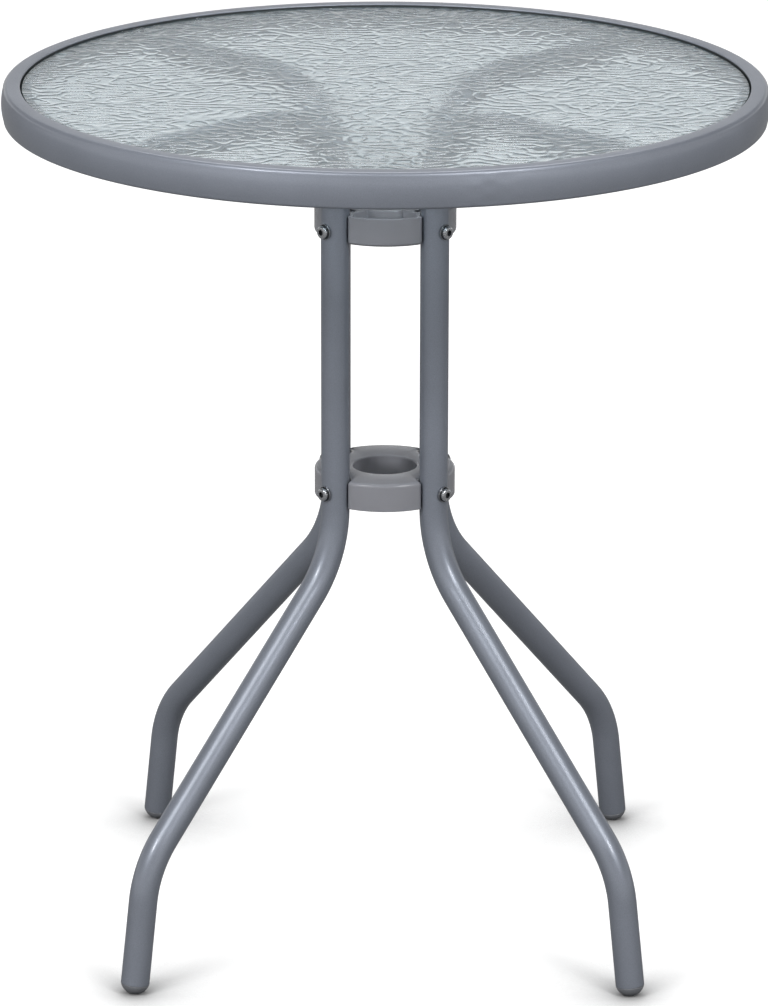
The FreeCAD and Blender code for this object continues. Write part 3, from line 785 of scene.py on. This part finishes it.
def glass_mesh(across=309):
    """A rippled face, a ground edge and a flat underside.

    The face is a square grid drawn onto the disc: x is u times the root of 1 - v * v / 2, and y
    is v times the root of 1 - u * u / 2. The square's border, which so becomes the circle, is
    carried down the edge in rings.
    """
    u, v = np.meshgrid(np.linspace(-1, 1, across), np.linspace(-1, 1, across))
    flat_radius = GLASS_RADIUS - GLASS_EDGE
    x = flat_radius * u * np.sqrt(1 - v * v / 2)
    y = flat_radius * v * np.sqrt(1 - u * u / 2)
    inside = np.clip((flat_radius - np.hypot(x, y)) / RIPPLE_FADE, 0, 1)
    field = ripple_field(x, y)
    z = GLASS_TOP - RIPPLE_DEPTH * (1 - np.exp(-(field / RIPPLE_WIDTH) ** 2) * inside)
    index = np.arange(across * across).reshape(across, across)
    quads = np.stack([index[:-1, :-1], index[:-1, 1:], index[1:, 1:], index[1:, :-1]], -1).reshape(-1, 4)
    border = np.concatenate([index[0, :-1], index[:-1, -1], index[-1, :0:-1], index[:0:-1, 0]])
    vertices = np.stack([x, y, z], -1).reshape(-1, 3)
    rings = [border]
    edge = (
        (GLASS_RADIUS, GLASS_TOP - GLASS_EDGE),
        (GLASS_RADIUS, GLASS_UNDERSIDE + GLASS_EDGE),
        (flat_radius, GLASS_UNDERSIDE))
    for radius, level in edge:
        ring = vertices[border] * [1, 1, 0] * (radius / flat_radius) + [0, 0, level]
        rings.append(np.arange(len(border)) + len(vertices))
        vertices = np.concatenate([vertices, ring])
    sides = []
    for upper, lower in zip(rings, rings[1:]):
        sides.append(np.stack([upper, lower, np.roll(lower, -1), np.roll(upper, -1)], 1))
    polygons = quads.tolist() + np.concatenate(sides).tolist() + [rings[-1][::-1].tolist()]
    mesh = bpy.data.meshes.new("rippled_glass_top")
    mesh.from_pydata(vertices.tolist(), [], polygons)
    slots = np.zeros(len(polygons), np.int32)
    slots[len(quads):-1] = 1
    mesh.polygons.foreach_set("material_index", slots)
    ridge = mesh.attributes.new("ripple_ridge", "FLOAT", "POINT")
    from_ridge = np.full(len(vertices), FAR_FROM_RIDGE)
    from_ridge[:field.size] = (field / RIPPLE_WIDTH).ravel()
    ridge.data.foreach_set("value", from_ridge)
    mesh.shade_smooth()
    mesh.set_sharp_from_angle(angle=math.radians(30))
    return mesh


def rippled_glass():
    """Slightly blue glass that lets lamplight through, with the ridges' crisp part as a bump.

    The bump's height is the ridge's own formula, worked out from the field that the mesh's
    points carry, so the two fall in one place.
    """
    material = bpy.data.materials.new("rippled_glass")
    material.use_nodes = True
    tree = material.node_tree
    shader = tree.nodes["Principled BSDF"]
    shader.inputs["Base Color"].default_value = (0.58, 0.66, 0.70, 1)
    shader.inputs["Transmission Weight"].default_value = 0.90
    shader.inputs["IOR"].default_value = 1.5
    shader.inputs["Roughness"].default_value = 0.006
    level = tree.nodes.new("ShaderNodeAttribute")
    level.attribute_name = "ripple_ridge"
    height = level.outputs["Fac"]
    for operation, operand in (("POWER", 2), ("MULTIPLY", -1), ("EXPONENT", 0)):
        step = tree.nodes.new("ShaderNodeMath")
        step.operation = operation
        step.inputs[1].default_value = operand
        tree.links.new(height, step.inputs[0])
        height = step.outputs["Value"]
    bump = tree.nodes.new("ShaderNodeBump")
    bump.inputs["Strength"].default_value = 1
    bump.inputs["Distance"].default_value = RIPPLE_CRISP_DEPTH
    tree.links.new(height, bump.inputs["Height"])
    tree.links.new(bump.outputs["Normal"], shader.inputs["Normal"])
    clear = tree.nodes.new("ShaderNodeBsdfTransparent")
    clear.inputs["Color"].default_value = (0.58, 0.60, 0.61, 1)
    path = tree.nodes.new("ShaderNodeLightPath")
    both = tree.nodes.new("ShaderNodeMixShader")
    tree.links.new(path.outputs["Is Shadow Ray"], both.inputs["Fac"])
    tree.links.new(shader.outputs["BSDF"], both.inputs[1])
    tree.links.new(clear.outputs["BSDF"], both.inputs[2])
    tree.links.new(both.outputs["Shader"], tree.nodes["Material Output"].inputs["Surface"])
    return material


glass = bpy.data.objects.new("rippled_glass_top", glass_mesh())
bpy.context.scene.collection.objects.link(glass)
glass.data.materials.append(rippled_glass())
# The ground edge is its bottle green with painted shade, near black.
glass.data.materials.append(moulded_plastic("ground_glass_edge_and_shade", (0.012, 0.030, 0.032), 0.4))
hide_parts("glass_top")
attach(glass, "glass")

# Floor, light and camera. A white floor and backdrop under soft lamps: three overhead, two low
# ones at the sides and two small ones in front for highlights. The camera stands a little over
# four metres away and looks down on the table by 17 degrees.
FLOOR_HALF_WIDTH = 40
FLOOR_MATTE = 0.42
FLOOR_BOUNCE = 0.10
FLOOR_GLOW_UNDER = 0.80
FLOOR_GLOW_FAR = 1.0
FLOOR_GLOW_RISES_FROM = 0.4
FLOOR_GLOW_RISES_TO = 2.2
FLOOR_IN_GLOSS = 0.28
CONTACT_SHADOW_REACH = 0.16
CONTACT_SHADOW_POWER = 5.0
WORLD_FILL = 0.05
CEILING = 0.22
HORIZON_BAND_TOP = 0.05
CEILING_FROM = 0.38
CAMERA_DISTANCE = 4.0840
CAMERA_SIDE = 0.0184
CAMERA_HEIGHT = 1.6272
CAMERA_DIP = 17.460
CAMERA_TURN = 0.266
CAMERA_ROLL = 0.127
CAMERA_LENS = 250.83


def background_ray(tree):
    """One for a ray that should meet the white background: from the camera, a gloss or through glass.

    It is zero after a matte bounce, so that the background lights nothing.
    """
    path = tree.nodes.new("ShaderNodeLightPath")
    either = path.outputs["Is Camera Ray"]
    for output in ("Is Glossy Ray", "Is Transmission Ray"):
        largest = tree.nodes.new("ShaderNodeMath")
        largest.operation = "MAXIMUM"
        tree.links.new(either, largest.inputs[0])
        tree.links.new(path.outputs[output], largest.inputs[1])
        either = largest.outputs["Value"]
    straight = tree.nodes.new("ShaderNodeMath")
    straight.operation = "LESS_THAN"
    straight.inputs[1].default_value = 0.5
    tree.links.new(path.outputs["Diffuse Depth"], straight.inputs[0])
    both = tree.nodes.new("ShaderNodeMath")
    both.operation = "MULTIPLY"
    tree.links.new(either, both.inputs[0])
    tree.links.new(straight.outputs["Value"], both.inputs[1])
    return both.outputs["Value"]


def floor_material():
    """White matte floor glowing to a background ray, less near the table, and at its feet less as painted
    contact shadow.
    """
    material = bpy.data.materials.new("white_floor")
    material.use_nodes = True
    tree = material.node_tree
    tree.nodes.remove(tree.nodes["Principled BSDF"])
    output = tree.nodes["Material Output"]
    seen = tree.nodes.new("ShaderNodeLightPath")
    tone = tree.nodes.new("ShaderNodeMix")
    tone.data_type = "RGBA"
    tone.inputs["A"].default_value = (FLOOR_BOUNCE, FLOOR_BOUNCE, FLOOR_BOUNCE, 1)
    tone.inputs["B"].default_value = (FLOOR_MATTE, FLOOR_MATTE, FLOOR_MATTE, 1)
    tree.links.new(seen.outputs["Is Camera Ray"], tone.inputs["Factor"])
    matte = tree.nodes.new("ShaderNodeBsdfDiffuse")
    tree.links.new(tone.outputs["Result"], matte.inputs["Color"])
    glow = tree.nodes.new("ShaderNodeEmission")
    where = tree.nodes.new("ShaderNodeTexCoord")
    away = tree.nodes.new("ShaderNodeVectorMath")
    away.operation = "LENGTH"
    tree.links.new(where.outputs["Object"], away.inputs[0])
    rise = tree.nodes.new("ShaderNodeMapRange")
    rise.interpolation_type = "SMOOTHSTEP"
    rise.inputs["From Min"].default_value = FLOOR_GLOW_RISES_FROM
    rise.inputs["From Max"].default_value = FLOOR_GLOW_RISES_TO
    rise.inputs["To Min"].default_value = FLOOR_GLOW_UNDER
    rise.inputs["To Max"].default_value = FLOOR_GLOW_FAR
    tree.links.new(away.outputs["Value"], rise.inputs["Value"])
    contact = tree.nodes.new("ShaderNodeAmbientOcclusion")
    contact.inputs["Distance"].default_value = CONTACT_SHADOW_REACH
    deeper = tree.nodes.new("ShaderNodeMath")
    deeper.operation = "POWER"
    deeper.inputs[1].default_value = CONTACT_SHADOW_POWER
    tree.links.new(contact.outputs["AO"], deeper.inputs[0])
    in_gloss = tree.nodes.new("ShaderNodeMapRange")
    in_gloss.inputs["To Min"].default_value = 1
    in_gloss.inputs["To Max"].default_value = FLOOR_IN_GLOSS
    mirrored = tree.nodes.new("ShaderNodeMath")
    mirrored.operation = "SUBTRACT"
    mirrored.use_clamp = True
    tree.links.new(seen.outputs["Is Glossy Ray"], mirrored.inputs[0])
    tree.links.new(seen.outputs["Is Transmission Ray"], mirrored.inputs[1])
    tree.links.new(mirrored.outputs["Value"], in_gloss.inputs["Value"])
    level = rise.outputs["Result"]
    for factor in (deeper.outputs["Value"], in_gloss.outputs["Result"]):
        dimmed = tree.nodes.new("ShaderNodeMath")
        dimmed.operation = "MULTIPLY"
        tree.links.new(level, dimmed.inputs[0])
        tree.links.new(factor, dimmed.inputs[1])
        level = dimmed.outputs["Value"]
    tree.links.new(level, glow.inputs["Strength"])
    nothing = tree.nodes.new("ShaderNodeMixShader")
    black = tree.nodes.new("ShaderNodeEmission")
    black.inputs["Strength"].default_value = 0
    tree.links.new(background_ray(tree), nothing.inputs["Fac"])
    tree.links.new(black.outputs["Emission"], nothing.inputs[1])
    tree.links.new(glow.outputs["Emission"], nothing.inputs[2])
    both = tree.nodes.new("ShaderNodeAddShader")
    tree.links.new(matte.outputs["BSDF"], both.inputs[0])
    tree.links.new(nothing.outputs["Shader"], both.inputs[1])
    tree.links.new(both.outputs["Shader"], output.inputs["Surface"])
    return material


floor_mesh = bpy.data.meshes.new("floor")
half = FLOOR_HALF_WIDTH
floor_corners = [(-half, -half, 0), (half, -half, 0), (half, half, 0), (-half, half, 0)]
floor_mesh.from_pydata(floor_corners, [], [(0, 1, 2, 3)])
floor = bpy.data.objects.new("floor", floor_mesh)
bpy.context.scene.collection.objects.link(floor)
floor_mesh.materials.append(floor_material())


def studio():
    """A world that is white to the camera, and for gloss and glass white at eye level and dim overhead."""
    world = bpy.data.worlds.new("studio")
    world.use_nodes = True
    tree = world.node_tree
    fill = tree.nodes["Background"]
    fill.inputs["Color"].default_value = (WORLD_FILL, WORLD_FILL, WORLD_FILL * 1.02, 1)
    where = tree.nodes.new("ShaderNodeTexCoord")
    parts = tree.nodes.new("ShaderNodeSeparateXYZ")
    tree.links.new(where.outputs["Generated"], parts.inputs["Vector"])
    rise = tree.nodes.new("ShaderNodeMapRange")
    rise.interpolation_type = "SMOOTHSTEP"
    rise.inputs["From Min"].default_value = HORIZON_BAND_TOP
    rise.inputs["From Max"].default_value = CEILING_FROM
    rise.inputs["To Min"].default_value = 1
    rise.inputs["To Max"].default_value = CEILING
    tree.links.new(parts.outputs["Z"], rise.inputs["Value"])
    seen = tree.nodes.new("ShaderNodeLightPath")
    strength = tree.nodes.new("ShaderNodeMath")
    strength.operation = "MAXIMUM"
    tree.links.new(rise.outputs["Result"], strength.inputs[0])
    tree.links.new(seen.outputs["Is Camera Ray"], strength.inputs[1])
    white = tree.nodes.new("ShaderNodeBackground")
    white.inputs["Color"].default_value = (1, 1, 1, 1)
    tree.links.new(strength.outputs["Value"], white.inputs["Strength"])
    choice = tree.nodes.new("ShaderNodeMixShader")
    tree.links.new(background_ray(tree), choice.inputs["Fac"])
    tree.links.new(fill.outputs["Background"], choice.inputs[1])
    tree.links.new(white.outputs["Background"], choice.inputs[2])
    tree.links.new(choice.outputs["Shader"], tree.nodes["World Output"].inputs["Surface"])
    return world


bpy.context.scene.world = studio()


def softbox(name, place, aim, size, power, mirrored=True):
    """A square area lamp at a place, turned to shine on a point. It can be kept out of mirror images."""
    lamp = bpy.data.lights.new(name, "AREA")
    lamp.size = size
    lamp.energy = power
    box = bpy.data.objects.new(name, lamp)
    box.visible_glossy = mirrored
    box.location = place
    box.rotation_euler = (Vector(aim) - Vector(place)).to_track_quat("-Z", "Y").to_euler()
    bpy.context.scene.collection.objects.link(box)


softbox("left_key", (-1.1, -1.6, 2.75), (0, 0, 0.4), 1.4, 27)
softbox("right_key", (1.1, -1.6, 2.75), (0, 0, 0.4), 1.4, 27)
softbox("left_low", (-3.07, -2.40, 1.45), (0, 0, 0.45), 0.9, 68, mirrored=False)
softbox("right_low", (2.60, -2.90, 1.45), (0, 0, 0.45), 0.9, 56, mirrored=False)
softbox("back_key", (0, 1.9, 2.75), (0, 0, 0.4), 1.6, 28)
softbox("left_highlight", (-1.7, -2.07, 2.4), (0, 0, 0.4), 0.5, 24)
softbox("right_highlight", (1.5, -2.22, 2.4), (0, 0, 0.4), 0.6, 24)

camera = bpy.data.objects.new("camera", bpy.data.cameras.new("camera"))
camera.data.sensor_fit = "HORIZONTAL"
camera.data.sensor_width = 36
camera.data.lens = CAMERA_LENS
camera.location = (CAMERA_SIDE, -CAMERA_DISTANCE, CAMERA_HEIGHT)
dip, turn, roll = math.radians(90 - CAMERA_DIP), math.radians(CAMERA_TURN), math.radians(CAMERA_ROLL)
camera.rotation_euler = (Matrix.Rotation(turn, 3, "Z") @ Matrix.Rotation(dip, 3, "X")
                         @ Matrix.Rotation(roll, 3, "Z")).to_euler()
bpy.context.scene.collection.objects.link(camera)
bpy.context.scene.camera = camera
bpy.context.scene.view_settings.view_transform = "Standard"
